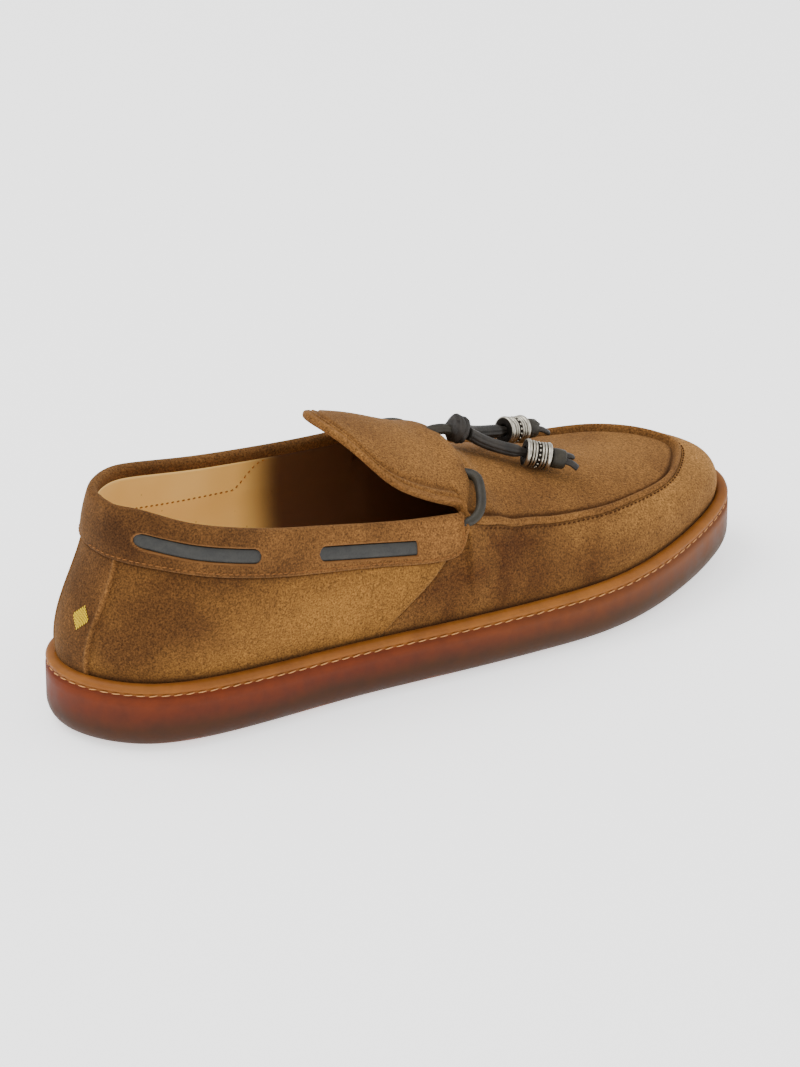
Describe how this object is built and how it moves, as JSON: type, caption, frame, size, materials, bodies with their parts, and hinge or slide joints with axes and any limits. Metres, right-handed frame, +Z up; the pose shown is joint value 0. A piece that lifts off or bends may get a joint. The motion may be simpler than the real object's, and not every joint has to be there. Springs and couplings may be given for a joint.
{
  "type": "tassel loafer",
  "caption": "Right suede slip-on shoe with a raised apron seam, a stitched collar band, a laced tassel with metal beads and a rubber cup sole.",
  "frame": {"origin": "on the floor, under the middle of the sole's outline", "axes": "+X to the toe, +Y to the medial (inner) side, +Z up"},
  "size_m": [0.3, 0.0982, 0.0986],
  "materials": {
    "gum": "satin gum rubber",
    "suede": "suede nap",
    "lining": "smooth leather",
    "lace": "smooth leather",
    "metal": "antique silver"
  },
  "bodies": {
    "root": {"sole": "gum", "upper": "suede", "tongue": "suede", "insole": "lining", "lace_bar_lateral_rear": "lace", "lace_bar_lateral_front": "lace", "lace_bar_medial_rear": "lace", "lace_bar_medial_front": "lace", "lace_loop_lateral": "lace", "lace_loop_medial": "lace", "lace_stub": "lace", "lace_knot": "lace", "lace_end_near": "lace", "lace_end_far": "lace", "bead_near": "metal", "bead_far": "metal", "lace_tip_near": "lace", "lace_tip_far": "lace"}
  },
  "joints": []
}
